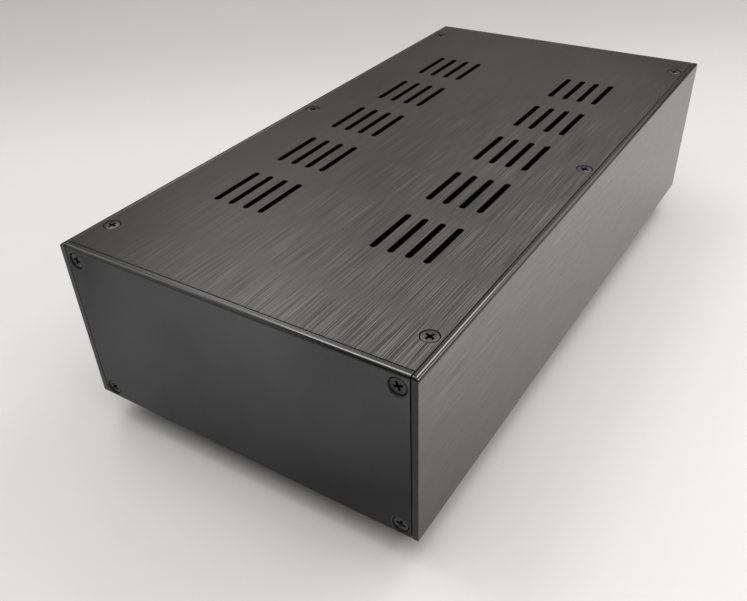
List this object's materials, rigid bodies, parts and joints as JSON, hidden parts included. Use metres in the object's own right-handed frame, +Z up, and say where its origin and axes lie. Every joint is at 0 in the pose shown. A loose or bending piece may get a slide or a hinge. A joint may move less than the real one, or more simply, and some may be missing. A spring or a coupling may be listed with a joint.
{
  "type": "electronics chassis",
  "caption": "Low rectangular aluminium chassis for electronics: extruded side walls, screwed covers with vent slots, inset end panels and rubber feet.",
  "frame": {"origin": "on the standing surface under the centre of the case", "axes": "+X across, +Y along the side walls from the front panel to the rear panel, +Z up"},
  "size_m": [0.15, 0.293, 0.084],
  "materials": {
    "wall_anodised": "dark grey anodised extrusion, fine grain along its length",
    "cover_brushed": "dark grey anodised sheet, brushed along its length",
    "panel_satin": "dark grey anodised sheet, satin",
    "screw_black": "black oxide",
    "foot_rubber": "matt black moulded",
    "plated_steel": "bright zinc plate"
  },
  "bodies": {
    "root": {"left_side_wall": "wall_anodised", "right_side_wall": "wall_anodised", "top_cover": "cover_brushed", "bottom_cover": "cover_brushed", "front_panel": "panel_satin", "rear_panel": "panel_satin", "top_screws_left": "screw_black", "top_screws_right": "screw_black", "bottom_screws_left": "screw_black", "bottom_screws_right": "screw_black", "front_screws_left": "screw_black", "front_screws_right": "screw_black", "rear_screws_left": "screw_black", "rear_screws_right": "screw_black", "foot_front_left": "foot_rubber", "foot_front_right": "foot_rubber", "foot_rear_left": "foot_rubber", "foot_rear_right": "foot_rubber", "foot_washers": "plated_steel", "foot_screws": "plated_steel", "foot_nuts": "plated_steel"}
  },
  "joints": []
}
